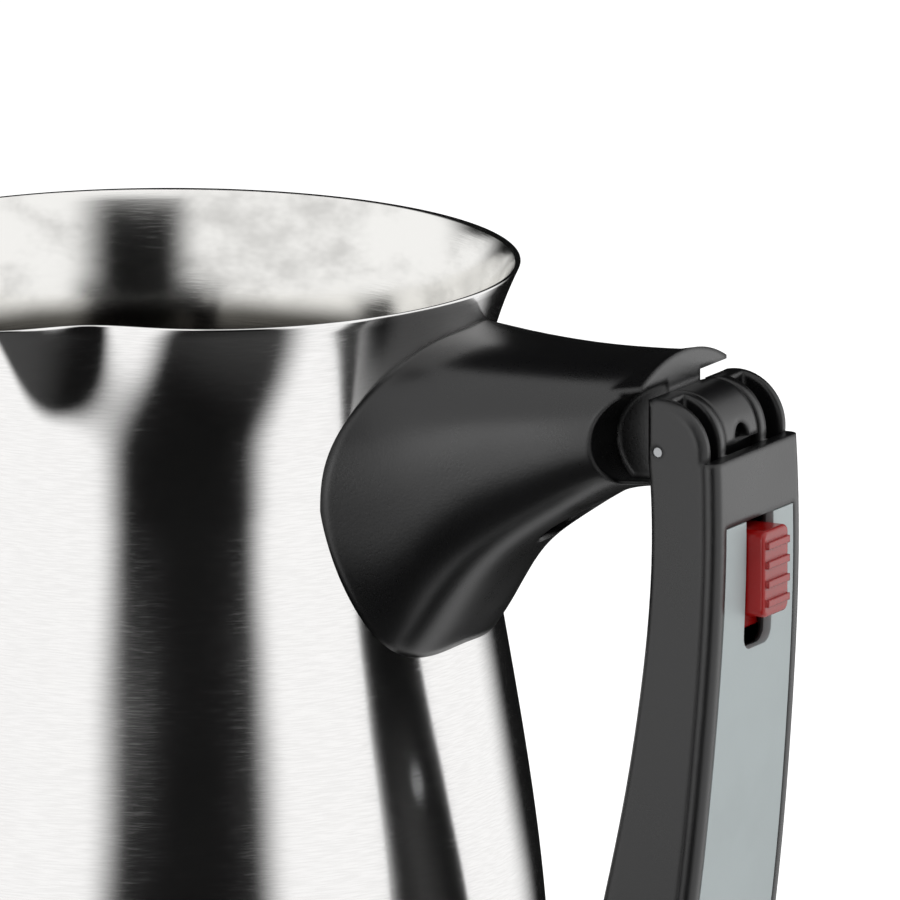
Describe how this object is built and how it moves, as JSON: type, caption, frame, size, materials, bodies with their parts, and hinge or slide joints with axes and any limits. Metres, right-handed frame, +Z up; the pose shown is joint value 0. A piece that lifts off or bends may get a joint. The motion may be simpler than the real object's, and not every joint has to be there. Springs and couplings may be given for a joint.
{
  "type": "electric turkish coffee maker",
  "caption": "Electric turkish coffee pot: a flared steel vessel with a pressed spout, a horn-shaped handle bracket, a folding grip with a slide latch, and a heated base with inlet and switch.",
  "frame": {"origin": "centre of the foot ring's flat underside, on the pot's axis", "axes": "+Z up along the pot's axis, +X towards the handle and grip, -Y towards the spout"},
  "size_m": [0.1583, 0.1179, 0.142],
  "materials": {
    "pot_steel": "brushed round the pot, bright",
    "steel_hardware": "zinc plated, satin",
    "black_plastic": "satin with a fine moulded grain",
    "dark_plastic": "matt",
    "grey_plastic": "satin",
    "red_plastic": "semi-gloss",
    "black_rubber": "matt",
    "heater_aluminium": "cast, satin",
    "contact_brass": "tinned and bright",
    "phenolic": "matt",
    "fuse_ceramic": "matt",
    "lead_brown": "sleeved, matt",
    "lead_blue": "sleeved, matt",
    "lead_green": "sleeved, matt"
  },
  "bodies": {
    "pot": {"pot_body": "pot_steel", "weld_strap": "steel_hardware", "handle_bracket": "black_plastic", "bracket_screw": "steel_hardware", "base_shell": "black_plastic", "base_gasket": "black_rubber", "bottom_cover": "dark_plastic", "foot_ring": "black_rubber", "cover_screws": "steel_hardware", "heater_plate": "heater_aluminium", "heating_element": "heater_aluminium", "element_terminals": "steel_hardware", "pot_studs": "steel_hardware", "stud_nuts": "steel_hardware", "thermostat_cap": "heater_aluminium", "thermostat_tabs": "contact_brass", "thermostat_body": "phenolic", "thermal_fuse": "fuse_ceramic", "fuse_clip": "steel_hardware", "inlet_blades": "contact_brass", "power_inlet": "dark_plastic", "switch_tabs": "contact_brass", "switch_housing": "dark_plastic", "wire_live": "lead_brown", "wire_switched": "lead_brown", "wire_link": "lead_brown", "wire_fuse": "lead_brown", "wire_neutral": "lead_blue", "wire_earth": "lead_green"},
    "grip": {"grip_body": "black_plastic", "grip_cover": "black_plastic", "grip_insert": "grey_plastic", "grip_screws": "steel_hardware", "hinge_pin": "steel_hardware", "latch_spring": "steel_hardware"},
    "latch": {"latch_slider": "red_plastic"},
    "rocker": {"switch_rocker": "red_plastic"}
  },
  "joints": [
    {"name": "handle_fold", "type": "hinge", "parent": "pot", "child": "grip", "pos_m": [0.0844, 0, 0.125], "axis": [0, -1, 0], "range_deg": [0, 90]},
    {"name": "latch_slide", "type": "slide", "parent": "grip", "child": "latch", "axis": [0, 0, -1], "range_m": [0, 0.0032], "stiffness_N_per_m": 300, "springref_m": -0.004, "deforming": ["latch_spring"]},
    {"name": "power_rock", "type": "hinge", "parent": "pot", "child": "rocker", "pos_m": [-0.057, 0, 0.015], "axis": [0, 0, 1], "range_deg": [0, 18]}
  ]
}
